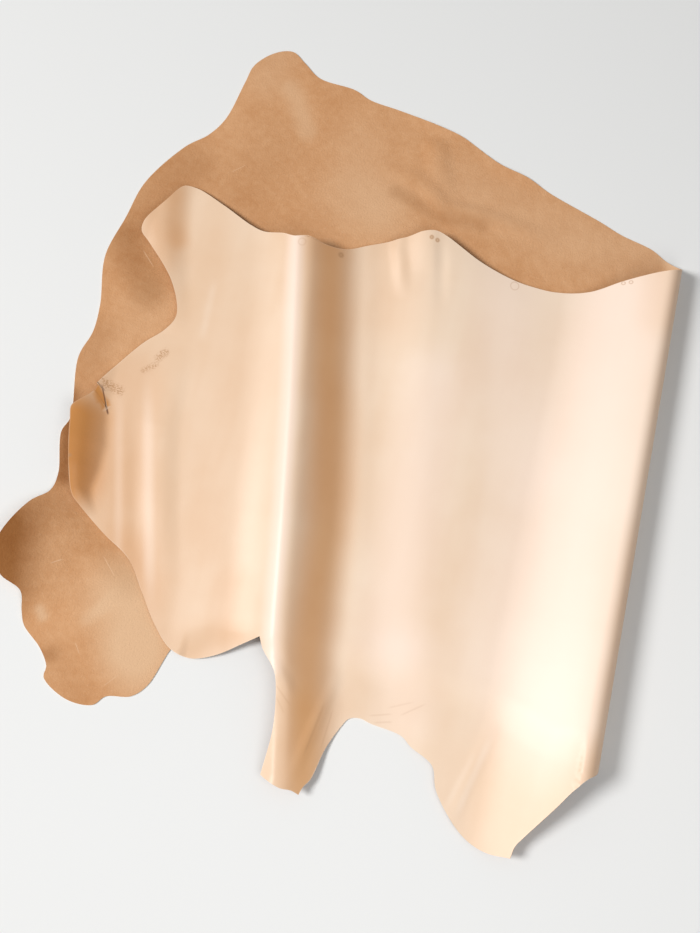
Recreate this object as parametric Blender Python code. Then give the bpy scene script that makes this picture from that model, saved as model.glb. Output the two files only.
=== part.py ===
"""A side of vegetable-tanned leather, folded once and lying on a flat surface.

The side is one uneven sheet. It is laid out here opened flat, with the fold
line at out = 0: the under layer lies at negative out, the upper layer at
positive out, and up runs along the fold. The under layer lies flesh side up.
The sheet rolls round the fold, and the upper layer comes back over it, grain
side up, in one long crest and several low swells. The origin is the middle of
the folded side, on the surface that it lies on: +Z up, +Y along the fold and
+X towards it. Sizes in the tables are in mm.
"""
import math

import bpy
import numpy as np
from mathutils.geometry import delaunay_2d_cdt

MM = 0.001

# The middle of the folded side, measured from the roll's axis to the outer
# edges, and up along the fold
MIDDLE_ACROSS = 540.84
MIDDLE_UP = 85.86

# Thickness of the hide and the air between and below its layers
HIDE_THICK = 2.2
LAYER_GAP = 2.6
OVERHANG_GAP = 0.3

# The roll at the fold: its radius at two places along the fold, how much
# narrower its upper half is, and how far past half a turn the sheet rolls
# before it comes down over the under layer
ROLL_LOW_UP = -455.0
ROLL_LOW_RADIUS = 40.0
ROLL_HIGH_UP = 505.0
ROLL_HIGH_RADIUS = 34.0
ROLL_NARROWING = 0.75
ROLL_PAST_HALF = math.radians(15)
ROLL_WIDTH = 122.0
ROLL_FALL_REACH = 170.0

# Where the upper layer hangs past the under layer's edge
OVERHANG_START = 3.0
OVERHANG_REACH = 70.0

# How gently the crests turn over at their tops
CREST_ROUND = 7.0

# Outline of the opened sheet. Each stretch starts at a corner or runs on
# smoothly from the one before, and is a curve through its (out, up) points.
EDGE = (
    ("upper edge of the under layer", "smooth", (
        (-55, 530), (-85, 547), (-150, 565), (-195, 583), (-300, 620), (-350, 643),
        (-410, 660), (-490, 700), (-525, 710), (-625, 730), (-690, 740), (-725, 755),
        (-800, 765),
    )),
    ("hind shank", "smooth", (
        (-835, 790), (-865, 810), (-900, 800), (-935, 765), (-945, 725), (-965, 640),
        (-990, 600), (-1030, 565), (-1090, 475),
    )),
    ("outer edge of the under layer", "smooth", (
        (-1110, 395), (-1130, 310), (-1115, 210), (-1115, 155), (-1130, 100),
        (-1115, -20), (-1125, -50), (-1110, -130), (-1115, -165),
    )),
    ("raised tip", "smooth", (
        (-1145, -195), (-1180, -270), (-1180, -310), (-1160, -340), (-1120, -360),
        (-1110, -395),
    )),
    ("lower lobe of the under layer", "smooth", (
        (-1100, -420), (-1060, -455), (-1040, -485), (-1040, -505), (-990, -535),
        (-940, -535), (-920, -515), (-875, -505), (-850, -480), (-825, -410),
    )),
    ("hidden edge", "smooth", (
        (-800, -360), (-750, -325), (-680, -305), (-485, -315), (-220, -345), (-110, -385),
    )),
    ("low end of the fold", "smooth", (
        (0, -455), (42, -474), (65, -498), (86, -531), (128, -597), (138, -615),
    )),
    ("lower lobe of the upper layer", "corner", (
        (142, -637), (178, -638), (210, -627), (245, -600), (285, -550), (300, -510),
        (345, -485), (365, -470), (425, -460), (445, -455), (465, -460),
    )),
    ("inner side of the shank", "smooth", (
        (475, -475), (495, -520), (510, -580), (520, -595),
    )),
    ("end of the shank", "corner", (
        (525, -610), (540, -605), (560, -605), (590, -595),
    )),
    ("outer side of the shank", "corner", (
        (600, -590), (595, -505), (605, -435), (615, -405), (645, -370),
    )),
    ("belly lobe", "corner", (
        (655, -350), (685, -370), (730, -400), (775, -415), (815, -405), (855, -365),
        (890, -315), (930, -260), (985, -225), (1020, -200),
    )),
    ("curled rim", "smooth", (
        (1045, -180), (1060, -165), (1080, -100), (1095, -30), (1100, -5), (1095, 5),
        (1075, 30),
    )),
    ("near side of the tear", "corner", (
        (1070, 40),
    )),
    ("far side of the tear", "corner", (
        (1040, 10), (1055, 45),
    )),
    ("neck, below its tip", "corner", (
        (1070, 55), (1055, 80), (1005, 150), (970, 185), (955, 210), (955, 230),
        (980, 285), (1040, 350), (1060, 370),
    )),
    ("neck tip", "smooth", (
        (1060, 390), (1025, 445), (1010, 470), (1000, 480), (975, 480), (915, 455),
        (855, 425), (825, 415),
    )),
    ("upper edge of the upper layer", "smooth", (
        (785, 415), (760, 410), (735, 415), (700, 410), (665, 415), (625, 435),
        (550, 465), (520, 480), (495, 485), (475, 480), (400, 445), (330, 425),
        (280, 420), (245, 420), (183, 432), (130, 460),
    )),
    ("high end of the fold", "smooth", (
        (75, 482), (40, 491), (0, 505),
    )),
)

# Long folds of the upper layer, one row for each place along them: up, out of
# the crest, height, reach on the outer side, shoulder and reach on the fold side
FOLDS = {
    "main crest": (
        (470, 763, 23, 95, 12, 132),
        (92, 695, 27, 95, 8, 132),
        (-130, 660, 29, 95, 8, 132),
        (-350, 628, 27, 95, 8, 132),
        (-440, 601, 23, 80, 8, 126),
        (-590, 573, 17, 60, 8, 120),
    ),
    "plateau beside the crest": (
        (470, 763, 24, 300, 12, 132),
        (92, 695, 28, 330, 8, 132),
        (-130, 660, 28, 330, 8, 132),
        (-350, 628, 26, 260, 8, 132),
        (-440, 601, 22, 190, 8, 126),
        (-590, 573, 17, 90, 8, 120),
    ),
    "swell": (
        (500, 500, 24, 110, 0, 200),
        (380, 470, 18, 120, 0, 260),
        (60, 411, 14, 120, 0, 280),
        (-290, 340, 12, 120, 0, 280),
        (-500, 290, 10, 100, 0, 200),
    ),
    "neck ridge": (
        (500, 1040, 13, 60, 0, 64),
        (400, 1032, 13, 60, 0, 64),
        (300, 1000, 9, 60, 0, 56),
        (180, 965, 0, 50, 0, 56),
    ),
    "outer ripple": (
        (160, 935, 0, 45, 0, 40),
        (0, 928, 4, 45, 0, 40),
        (-150, 895, 4, 45, 0, 40),
        (-300, 855, 1, 45, 0, 40),
    ),
    "rim curl": (
        (60, 1090, 8, 60, 0, 50),
        (0, 1108, 36, 60, 0, 76),
        (-60, 1102, 41, 60, 0, 84),
        (-110, 1085, 38, 60, 0, 72),
        (-150, 1068, 26, 60, 0, 46),
        (-200, 1036, 0, 60, 0, 30),
    ),
}
# How crisply the outer side of a fold leaves its crest, and over which shares
# of the fold side its slope sets in and dies out
SHAPES = {
    "main crest": (2.4, 0.24, 0.32),
    "plateau beside the crest": (1.0, 0.24, 0.32),
    "rim curl": (0.0, 0.5, 0.14),
}
PLAIN_SHAPE = (0.0, 0.35, 0.35)

# Places where the under layer lifts off the surface:
# out, up, height, reach across the fold, reach along it
LIFTS = (
    ("raised tip", -1215, -275, 36, 210, 190),
    ("middle of the upper edge", -515, 760, 9, 130, 80),
    ("upper edge near the fold", -350, 690, 8, 120, 80),
)

# Mesh spacing in mm: along the outline, round the roll, and in bands of the
# opened sheet, from one out to another, across and along the fold. Columns of
# points lean with the long folds, fully so from LEAN_FULL_OUT outwards.
EDGE_SPACING = 24.0
EDGE_SPACING_AT_ROLL = 10.0
EDGE_MARGIN = 0.5
BANDS = (
    ("under layer", -1200, -61, 62, 62),
    ("roll", -61, 61, 10, 48),
    ("upper layer by the fold", 61, 562, 29, 48),
    ("upper layer at the crest", 562, 793, 21, 48),
    ("upper layer, outer part", 793, 1213, 28, 48),
)
LEAN = 0.196
LEAN_FULL_OUT = 500.0
SAME_POINT = 1e-4

# Each surface's colour and roughness
GRAIN_FINISH = ((0.80, 0.60, 0.42), 0.55)
FLESH_FINISH = ((0.58, 0.35, 0.18), 0.95)
CUT_FINISH = ((0.66, 0.46, 0.28), 0.85)


def spline_point(p0, p1, p2, p3, t):
    """One point of a centripetal Catmull-Rom curve between p1 and p2."""
    knots = [0.0]
    for a, b in ((p0, p1), (p1, p2), (p2, p3)):
        knots.append(knots[-1] + math.sqrt(np.linalg.norm(b - a)))
    k0, k1, k2, k3 = knots
    k = k1 + (k2 - k1) * t
    a1 = p0 + (p1 - p0) * (k - k0) / (k1 - k0)
    a2 = p1 + (p2 - p1) * (k - k1) / (k2 - k1)
    a3 = p2 + (p3 - p2) * (k - k2) / (k3 - k2)
    b1 = a1 + (a2 - a1) * (k - k0) / (k2 - k0)
    b2 = a2 + (a3 - a2) * (k - k1) / (k3 - k1)
    return b1 + (b2 - b1) * (k - k1) / (k2 - k1)


def edge_points():
    """The closed outline as evenly spaced points of the opened sheet."""
    points = []
    corners = set()
    for _name, start, stretch in EDGE:
        if start == "corner":
            corners.add(len(points))
        points.extend(np.array(point, dtype=float) for point in stretch)
    count = len(points)
    outline = []
    for i in range(count):
        p1 = points[i]
        p2 = points[(i + 1) % count]
        p0 = 2 * p1 - p2 if i in corners else points[i - 1]
        p3 = 2 * p2 - p1 if (i + 1) % count in corners else points[(i + 2) % count]
        at_roll = abs(p1[0] + p2[0]) / 2 < ROLL_WIDTH
        spacing = EDGE_SPACING_AT_ROLL if at_roll else EDGE_SPACING
        steps = max(1, round(np.linalg.norm(p2 - p1) / spacing))
        outline.extend(spline_point(p0, p1, p2, p3, step / steps) for step in range(steps))
    return outline


def inside(outline, point):
    """Whether a point lies within the outline."""
    x, y = point
    ahead = np.roll(outline, -1, axis=0)
    crosses = (outline[:, 1] > y) != (ahead[:, 1] > y)
    rise = np.where(crosses, ahead[:, 1] - outline[:, 1], 1.0)
    at = outline[:, 0] + (y - outline[:, 1]) / rise * (ahead[:, 0] - outline[:, 0])
    return np.count_nonzero(crosses & (at > x)) % 2 == 1


def inner_points(outline):
    """Grid points inside the outline, closer together where the sheet bends."""
    low = outline[:, 1].min()
    high = outline[:, 1].max()
    points = []
    for _name, start, end, across, along in BANDS:
        columns = round((end - start) / across)
        rows = round((high - low) / along)
        for column in range(columns):
            middle_out = start + (end - start) * (column + 0.5) / columns
            lean = LEAN * min(max(middle_out / LEAN_FULL_OUT, 0.0), 1.0)
            for row in range(rows):
                up = low + (high - low) * (row + 0.5) / rows
                out = middle_out + lean * up
                clear = np.linalg.norm(outline - (out, up), axis=1).min()
                if clear > EDGE_MARGIN * across and inside(outline, (out, up)):
                    points.append((out, up))
    return points


def roll_radius(up):
    """Radius of the roll at a place along the fold."""
    share = (up - ROLL_LOW_UP) / (ROLL_HIGH_UP - ROLL_LOW_UP)
    return ROLL_LOW_RADIUS + (ROLL_HIGH_RADIUS - ROLL_LOW_RADIUS) * min(max(share, 0.0), 1.0)


def fall(distance, reach, crispness):
    """Height share beside a crest: 1 on it, 0 from its reach outwards."""
    rounded = math.sqrt(distance * distance + CREST_ROUND ** 2) - CREST_ROUND
    t = min(rounded / reach, 1.0)
    return (1 - t) ** 2 * (1 + (2 - crispness) * t)


def ramp(t, setting_in, dying_out):
    """Height share along a slope that sets in, runs evenly and dies out, from 1 to 0."""
    steepest = 1 / (1 - setting_in / 2 - dying_out / 2)
    if t < setting_in:
        return 1 - steepest * t * t / (2 * setting_in)
    if t < 1 - dying_out:
        return 1 - steepest * (t - setting_in / 2)
    return steepest * (1 - t) ** 2 / (2 * dying_out)


def row_between(rows, up):
    """The values of a fold at a place along it, in even steps between its rows."""
    if up >= rows[0][0]:
        return rows[0][1:]
    for upper, lower in zip(rows, rows[1:]):
        if up >= lower[0]:
            t = (upper[0] - up) / (upper[0] - lower[0])
            return [a + (b - a) * t for a, b in zip(upper[1:], lower[1:])]
    return rows[-1][1:]


def folds_height(out, up):
    """Height that the long folds add to the upper layer."""
    height = 0.0
    for name, rows in FOLDS.items():
        crest, top, outer_reach, shoulder, fold_reach = row_between(rows, up)
        crispness, setting_in, dying_out = SHAPES.get(name, PLAIN_SHAPE)
        if out > crest:
            height += top * fall(out - crest, outer_reach, crispness)
        else:
            t = (crest - out - shoulder) / (fold_reach - shoulder)
            height += top * ramp(min(max(t, 0.0), 1.0), setting_in, dying_out)
    return height


def lift_height(out, up):
    """Height of the under layer above the surface."""
    height = 0.0
    for _name, at_out, at_up, top, reach_out, reach_up in LIFTS:
        d = ((out - at_out) / reach_out) ** 2 + ((up - at_up) / reach_up) ** 2
        height += top * max(1 - d, 0.0) ** 2
    return height


def hidden_edge_up(across):
    """Where the under layer's lower edge lies, below the upper layer."""
    rows = next(points for name, _start, points in EDGE if name == "hidden edge")
    if across > -rows[0][0] - ROLL_WIDTH / 2:
        return -math.inf
    reach = [-out - ROLL_WIDTH / 2 for out, _up in reversed(rows)]
    heights = [up for _out, up in reversed(rows)]
    return float(np.interp(across, reach, heights))


def place(out, up):
    """Where a point of the opened sheet's grain side lies when it is folded."""
    radius = roll_radius(up)
    half = ROLL_WIDTH / 2
    turn = math.pi + ROLL_PAST_HALF
    along = up - MIDDLE_UP
    if out <= -half:
        return (MIDDLE_ACROSS + half + out, along, lift_height(out, up))
    narrow = radius * ROLL_NARROWING
    if out <= half:
        angle = (out + half) / ROLL_WIDTH * turn
        across = radius * math.sin(angle)
        if angle > math.pi / 2:
            across = radius - narrow * (1 - math.sin(angle))
        return (MIDDLE_ACROSS + across, along, radius * (1 - math.cos(angle)))
    t = min((out - half) / ROLL_FALL_REACH, 1.0)
    drawn_in = (radius - narrow) * (1 + math.sin(ROLL_PAST_HALF)) * (1 - t * t * (3 - 2 * t))
    across = out - half + radius * math.sin(ROLL_PAST_HALF) - drawn_in
    top = radius * (1 + math.cos(ROLL_PAST_HALF))
    rest = 2 * HIDE_THICK + LAYER_GAP
    slope = math.tan(ROLL_PAST_HALF) / ROLL_NARROWING
    crispness = 2 - slope * ROLL_FALL_REACH / (top - rest)
    height = rest + (top - rest) * (1 - t) ** 2 * (1 + crispness * t)
    over = (hidden_edge_up(across) - up - OVERHANG_START) / OVERHANG_REACH
    over = min(max(over, 0.0), 1.0)
    droop = over * over * (3 - 2 * over)
    height -= droop * (rest - HIDE_THICK - OVERHANG_GAP)
    height += lift_height(-across - half, up) + folds_height(out, up)
    return (MIDDLE_ACROSS - across, along, height)


def finish(name, colour, roughness):
    """A plain material of one of the sheet's surfaces."""
    material = bpy.data.materials.new(name)
    material.use_nodes = True
    shader = material.node_tree.nodes["Principled BSDF"]
    shader.inputs["Base Color"].default_value = (*colour, 1.0)
    shader.inputs["Roughness"].default_value = roughness
    shader.inputs["Metallic"].default_value = 0.0
    return material


def make_side():
    """The whole side as one closed sheet."""
    outline = np.array(edge_points())
    flat = [tuple(point) for point in outline] + inner_points(outline)
    rim = [(i, (i + 1) % len(outline)) for i in range(len(outline))]
    verts, _edges, faces, *_origins = delaunay_2d_cdt(flat, rim, [], 1, SAME_POINT)
    folded = np.array([place(out, up) for out, up in verts]) * MM

    mesh = bpy.data.meshes.new("leather_side")
    mesh.from_pydata(folded.tolist(), [], [face[::-1] for face in faces])
    mesh.materials.append(finish("grain_side", *GRAIN_FINISH))
    mesh.materials.append(finish("flesh_side", *FLESH_FINISH))
    mesh.materials.append(finish("cut_edge", *CUT_FINISH))
    mesh.shade_smooth()
    side = bpy.data.objects.new("leather_side", mesh)
    bpy.context.scene.collection.objects.link(side)

    thickness = side.modifiers.new("hide thickness", "SOLIDIFY")
    thickness.thickness = HIDE_THICK * MM
    thickness.offset = -1.0
    thickness.use_even_offset = True
    thickness.material_offset = 1
    thickness.material_offset_rim = 2
    return side


for stale in list(bpy.data.objects):
    bpy.data.objects.remove(stale, do_unlink=True)

make_side()
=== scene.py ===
# %% [markdown]
# # A folded side of leather
#
# A side is half of a cow's hide, tanned and left undyed. This one is folded once along its
# length and lies on the floor. Its under layer shows the rough, tan flesh side, and its upper
# layer the smooth, pale grain side. We start with the packed part, a plain solid of the right
# size and shape. The dressed side may not grow out of it.

import math

import bpy
import numpy as np
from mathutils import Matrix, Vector
from mathutils.geometry import delaunay_2d_cdt


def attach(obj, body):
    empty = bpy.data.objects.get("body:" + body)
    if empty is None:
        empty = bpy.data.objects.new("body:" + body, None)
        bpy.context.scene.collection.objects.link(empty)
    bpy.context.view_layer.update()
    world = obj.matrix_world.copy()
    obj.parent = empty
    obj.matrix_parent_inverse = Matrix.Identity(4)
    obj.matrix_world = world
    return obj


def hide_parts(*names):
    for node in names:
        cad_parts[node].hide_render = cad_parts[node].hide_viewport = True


MM = 0.001
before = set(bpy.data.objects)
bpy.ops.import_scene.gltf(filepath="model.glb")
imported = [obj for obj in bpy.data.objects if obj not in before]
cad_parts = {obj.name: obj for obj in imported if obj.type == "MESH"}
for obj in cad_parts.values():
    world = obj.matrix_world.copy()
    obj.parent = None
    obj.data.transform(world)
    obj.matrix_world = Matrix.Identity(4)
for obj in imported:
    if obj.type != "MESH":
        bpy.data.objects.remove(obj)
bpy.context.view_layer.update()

# %% [markdown]
# ## The camera
#
# The picture is taken from nearly straight above: eleven degrees off, and turned a little so
# that the long folds run up and down the picture. We place the camera on a line out of the
# point that it looks at, and let the line's own direction turn it.

# %% The camera
CAMERA_TURN = math.radians(12.2)
CAMERA_RISE = math.radians(79)
CAMERA_REACH = 2.46
CAMERA_AIM = Vector((0.0293, -0.0859, 0.0))
CAMERA_LENS = 50

away = Vector((
    math.sin(CAMERA_TURN) * math.cos(CAMERA_RISE),
    -math.cos(CAMERA_TURN) * math.cos(CAMERA_RISE),
    math.sin(CAMERA_RISE),
))
camera = bpy.data.objects.new("camera", bpy.data.cameras.new("camera"))
bpy.context.scene.collection.objects.link(camera)
camera.data.lens = CAMERA_LENS
camera.location = CAMERA_AIM + away * CAMERA_REACH
camera.rotation_euler = (-away).to_track_quat("-Z", "Y").to_euler()
bpy.context.scene.camera = camera
print("The camera stands", round(camera.location.z, 2), "m above the floor")

# %% [markdown]
# ## The light
#
# One large soft lamp on the left, about halfway up, draws the folds: slopes that face it are
# pale and those that turn away go dark. It stands far off, so that both sides of the leather
# get as much of it. A weaker one near the lower right brightens that corner, and the pale
# surroundings fill in the rest. Leather's warm tones are easily greyed by a film-like view, so
# the plain one is used.

# %% The lamps and the surroundings
LAMPS = {
    # turn from the picture's right side, rise, distance, size and power
    "soft lamp": (182, 50, 9.0, 3.2, 672.0),
    "fill lamp": (298, 58, 2.3, 1.4, 10.8),
}
FILL_LIGHT = 0.26
WHITE = (1.0, 1.0, 1.0, 1.0)

for name, (turn, rise, reach, size, power) in LAMPS.items():
    turn = math.radians(turn) + CAMERA_TURN
    rise = math.radians(rise)
    level = math.cos(rise)
    toward = Vector((math.cos(turn) * level, math.sin(turn) * level, math.sin(rise)))
    lamp = bpy.data.objects.new(name, bpy.data.lights.new(name, "AREA"))
    bpy.context.scene.collection.objects.link(lamp)
    lamp.data.shape = "DISK"
    lamp.data.size = size
    lamp.data.energy = power
    lamp.location = toward * reach
    lamp.rotation_euler = (-toward).to_track_quat("-Z", "Y").to_euler()

world = bpy.data.worlds.new("pale surroundings")
bpy.context.scene.world = world
world.use_nodes = True
background = world.node_tree.nodes["Background"]
background.inputs["Color"].default_value = WHITE
background.inputs["Strength"].default_value = FILL_LIGHT
bpy.context.scene.view_settings.view_transform = "Standard"
print("The lamps are", [name for name in LAMPS])

# %% [markdown]
# ## Materials as sums
#
# A procedural material is easier to read as a formula than as a web of boxes. The small class
# below stands for one number or colour on its way through a material. Adding or multiplying
# two of them adds the matching Math node, so `1 - mask` can be written as it is said.

# %% A wire and its sums
class Wire:
    """A socket's value inside a material, which plain sums add Math nodes to."""

    def __init__(self, finish, socket):
        self.finish = finish
        self.socket = socket

    def math(self, operation, *values, clamp=False):
        settings = {"operation": operation, "use_clamp": clamp}
        return self.finish.node("ShaderNodeMath", settings, values)

    def __add__(self, other):
        return self.math("ADD", self, other)

    def __sub__(self, other):
        return self.math("SUBTRACT", self, other)

    def __rsub__(self, other):
        return self.math("SUBTRACT", other, self)

    def __mul__(self, other):
        return self.math("MULTIPLY", self, other)

    def __abs__(self):
        return self.math("ABSOLUTE", self)

    __radd__ = __add__
    __rmul__ = __mul__

    def clamped(self):
        return self.math("ADD", self, 0.0, clamp=True)

    def rises(self, start, end):
        """0 before start, 1 after end, and a soft step between them."""
        settings = {"interpolation_type": "SMOOTHSTEP"}
        inputs = {"Value": self, "From Min": start, "From Max": end}
        return self.finish.node("ShaderNodeMapRange", settings, inputs)


print("A wire knows", [name for name in vars(Wire) if not name.startswith("__")])

# %% [markdown]
# ## A material that makes its own nodes
#
# The second class is a material. Its `node` adds any kind of node from its name, its settings
# and what goes into its sockets, so the long way of making and linking each node is written
# only once. The marks on leather are mostly soft lines and rings, and they get methods too.

# %% A finish and its nodes
LINE_FADING = 0.25


class Finish:
    """A material, with one method that makes any node."""

    def __init__(self, name, roughness, specular=0.5):
        self.material = bpy.data.materials.new(name)
        self.material.use_nodes = True
        self.nodes = self.material.node_tree.nodes
        self.links = self.material.node_tree.links
        self.shader = self.nodes["Principled BSDF"]
        self.shader.inputs["Roughness"].default_value = roughness
        self.shader.inputs["Specular IOR Level"].default_value = specular

    def node(self, kind, settings=None, inputs=(), output=0):
        """Adds a node: its type, then its settings, then the values or links of its sockets."""
        node = self.nodes.new(kind)
        for name, value in (settings or {}).items():
            setattr(node, name, value)
        pairs = inputs.items() if isinstance(inputs, dict) else enumerate(inputs)
        for name, value in pairs:
            self.give(node.inputs[name], value)
        return Wire(self, node.outputs[output])

    def give(self, socket, value):
        """Links a wire to a socket, or sets the socket to a plain value."""
        if isinstance(value, Wire):
            self.links.new(value.socket, socket)
        else:
            socket.default_value = value

    def noise(self, at, scale, detail, roughness):
        inputs = {"Vector": at, "Scale": scale, "Detail": detail, "Roughness": roughness}
        return self.node("ShaderNodeTexNoise", None, inputs)

    def mix(self, share, first, second, blend="MIX"):
        """A colour between two others, or their product where blend says MULTIPLY."""
        settings = {"data_type": "RGBA", "blend_type": blend}
        inputs = {0: share, 6: first, 7: second}
        return self.node("ShaderNodeMix", settings, inputs, output=2)

    def tone(self, name):
        """One of the tones that are laid on the sheet's points."""
        return self.node("ShaderNodeAttribute", {"attribute_name": name}, (), "Fac")

    def stretched(self, at, scale):
        """Coordinates that are stretched differently each way."""
        return self.node("ShaderNodeMapping", None, {"Vector": at, "Scale": scale})

    def vector_math(self, operation, *values, output=0):
        return self.node("ShaderNodeVectorMath", {"operation": operation}, values, output)

    def line(self, at, start, end, half_width):
        """1 along a soft line between two points, and 0 from its half width outwards."""
        (start_x, start_y), (end_x, end_y) = start, end
        length = math.hypot(end_x - start_x, end_y - start_y)
        run_x, run_y = (end_x - start_x) / length, (end_y - start_y) / length
        away = self.vector_math("SUBTRACT", at, (start_x, start_y, 0.0))
        along = self.vector_math("DOT_PRODUCT", away, (run_x, run_y, 0.0), output="Value")
        beside = self.vector_math("DOT_PRODUCT", away, (-run_y, run_x, 0.0), output="Value")
        fading = length * LINE_FADING
        ends = along.rises(0.0, fading) * (1 - along.rises(length - fading, length))
        return (1 - abs(beside).rises(0.0, half_width)) * ends

    def ring(self, at, middle, radius, half_width):
        """1 on a soft ring round a point, and 0 from its half width to either side."""
        distance = self.vector_math("DISTANCE", at, (*middle, 0.0), output="Value")
        return 1 - abs(distance - radius).rises(0.0, half_width)

    def use(self, colour, height=None, depth=0.0):
        """Joins the finished formulas to the shader."""
        self.give(self.shader.inputs["Base Color"], colour)
        if height is not None:
            inputs = {"Strength": 1.0, "Distance": depth, "Height": height}
            self.give(self.shader.inputs["Normal"], self.node("ShaderNodeBump", None, inputs))


print("A finish knows", [name for name in vars(Finish) if not name.startswith("__")])

# %% [markdown]
# ## The outline of the opened sheet
#
# Leather is cut, or left as it came off the animal, while it lies flat, so its outline is
# easiest to draw on the opened sheet. Each point is (out, up) in millimetres: the fold is at
# out = 0, the under layer on its negative side, the upper layer on its positive side, and up
# runs along the fold. The stretches are listed one after the other, round the whole sheet, and
# each says whether it goes on smoothly from the one before or starts at a corner.

# %% Points of the outline
EDGE = (
    ("upper edge of the under layer", "smooth", (
        (-55, 530), (-85, 547), (-150, 565), (-195, 583), (-300, 620), (-350, 643),
        (-410, 660), (-490, 700), (-525, 710), (-625, 730), (-690, 740), (-725, 755),
        (-800, 765),
    )),
    ("hind shank", "smooth", (
        (-835, 790), (-865, 810), (-900, 800), (-935, 765), (-945, 725), (-965, 640),
        (-990, 600), (-1030, 565), (-1090, 475),
    )),
    ("outer edge of the under layer", "smooth", (
        (-1110, 395), (-1130, 310), (-1115, 210), (-1115, 155), (-1130, 100),
        (-1115, -20), (-1125, -50), (-1110, -130), (-1115, -165),
    )),
    ("raised tip", "smooth", (
        (-1145, -195), (-1180, -270), (-1180, -310), (-1160, -340), (-1120, -360),
        (-1110, -395),
    )),
    ("lower lobe of the under layer", "smooth", (
        (-1100, -420), (-1060, -455), (-1040, -485), (-1040, -505), (-990, -535),
        (-940, -535), (-920, -515), (-875, -505), (-850, -480), (-825, -410),
    )),
    ("hidden edge", "smooth", (
        (-800, -360), (-750, -325), (-680, -305), (-485, -315), (-220, -345), (-110, -385),
    )),
    ("low end of the fold", "smooth", (
        (0, -455), (42, -474), (65, -498), (86, -531), (128, -597), (138, -615),
    )),
    ("lower lobe of the upper layer", "corner", (
        (142, -637), (178, -638), (210, -627), (245, -600), (285, -550), (300, -510),
        (345, -485), (365, -470), (425, -460), (445, -455), (465, -460),
    )),
    ("inner side of the shank", "smooth", (
        (475, -475), (495, -520), (510, -580), (520, -595),
    )),
    ("end of the shank", "corner", (
        (525, -610), (540, -605), (560, -605), (590, -595),
    )),
    ("outer side of the shank", "corner", (
        (600, -590), (595, -505), (605, -435), (615, -405), (645, -370),
    )),
    ("belly lobe", "corner", (
        (655, -350), (685, -370), (730, -400), (775, -415), (815, -405), (855, -365),
        (890, -315), (930, -260), (985, -225), (1020, -200),
    )),
    ("curled rim", "smooth", (
        (1045, -180), (1060, -165), (1080, -100), (1095, -30), (1100, -5), (1095, 5),
        (1075, 30),
    )),
    ("near side of the tear", "corner", (
        (1070, 40),
    )),
    ("far side of the tear", "corner", (
        (1040, 10), (1055, 45),
    )),
    ("neck, below its tip", "corner", (
        (1070, 55), (1055, 80), (1005, 150), (970, 185), (955, 210), (955, 230),
        (980, 285), (1040, 350), (1060, 370),
    )),
    ("neck tip", "smooth", (
        (1060, 390), (1025, 445), (1010, 470), (1000, 480), (975, 480), (915, 455),
        (855, 425), (825, 415),
    )),
    ("upper edge of the upper layer", "smooth", (
        (785, 415), (760, 410), (735, 415), (700, 410), (665, 415), (625, 435),
        (550, 465), (520, 480), (495, 485), (475, 480), (400, 445), (330, 425),
        (280, 420), (245, 420), (183, 432), (130, 460),
    )),
    ("high end of the fold", "smooth", (
        (75, 482), (40, 491), (0, 505),
    )),
)
print("The outline has", [name for name, _start, _points in EDGE])

# %% [markdown]
# ## The outline's curve
#
# A knife or the tearing of the hide leaves no straight lines between a few points. A curve
# object could join them, but its smoothness can't be broken at a corner without handles. So
# a short function gives the curve that passes through every point, evenly divided.

# %% The outline's curve
EDGE_SPACING = 6.0


def curve_point(p0, p1, p2, p3, t):
    """One point of the smooth curve between p1 and p2, which p0 and p3 give its direction."""
    knots = [0.0]
    for a, b in ((p0, p1), (p1, p2), (p2, p3)):
        knots.append(knots[-1] + math.sqrt(np.linalg.norm(b - a)))
    k0, k1, k2, k3 = knots
    k = k1 + (k2 - k1) * t
    a1 = p0 + (p1 - p0) * (k - k0) / (k1 - k0)
    a2 = p1 + (p2 - p1) * (k - k1) / (k2 - k1)
    a3 = p2 + (p3 - p2) * (k - k2) / (k3 - k2)
    b1 = a1 + (a2 - a1) * (k - k0) / (k2 - k0)
    b2 = a2 + (a3 - a2) * (k - k1) / (k3 - k1)
    return b1 + (b2 - b1) * (k - k1) / (k2 - k1)


def edge_points():
    """The closed outline as evenly spaced points of the opened sheet."""
    points = []
    corners = set()
    for _name, start, stretch in EDGE:
        if start == "corner":
            corners.add(len(points))
        points.extend(np.array(point, dtype=float) for point in stretch)
    count = len(points)
    outline = []
    for i in range(count):
        p1 = points[i]
        p2 = points[(i + 1) % count]
        p0 = 2 * p1 - p2 if i in corners else points[i - 1]
        p3 = 2 * p2 - p1 if (i + 1) % count in corners else points[(i + 2) % count]
        steps = max(1, round(np.linalg.norm(p2 - p1) / EDGE_SPACING))
        outline.extend(curve_point(p0, p1, p2, p3, step / steps) for step in range(steps))
    return np.array(outline)


outline = edge_points()
ahead = np.roll(outline, -1, axis=0)
perimeter = np.linalg.norm(ahead - outline, axis=1).sum()
cut_area = abs((outline[:, 0] * ahead[:, 1] - ahead[:, 0] * outline[:, 1]).sum()) / 2
print(len(outline), "points,", round(perimeter * MM, 2), "m round")
print("The cut sheet has", round(cut_area * MM * MM, 3), "square metres")

# %% [markdown]
# ## The folds
#
# The upper layer rests on the under one and rises in long folds. The main crest comes up
# slowly from the outer side and drops quickly towards the fold. Sculpting would leave it lumpy.
# Here each row of a table says how such a fold stands at one place along it, in millimetres,
# and the values in between are read off straight lines.

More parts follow.
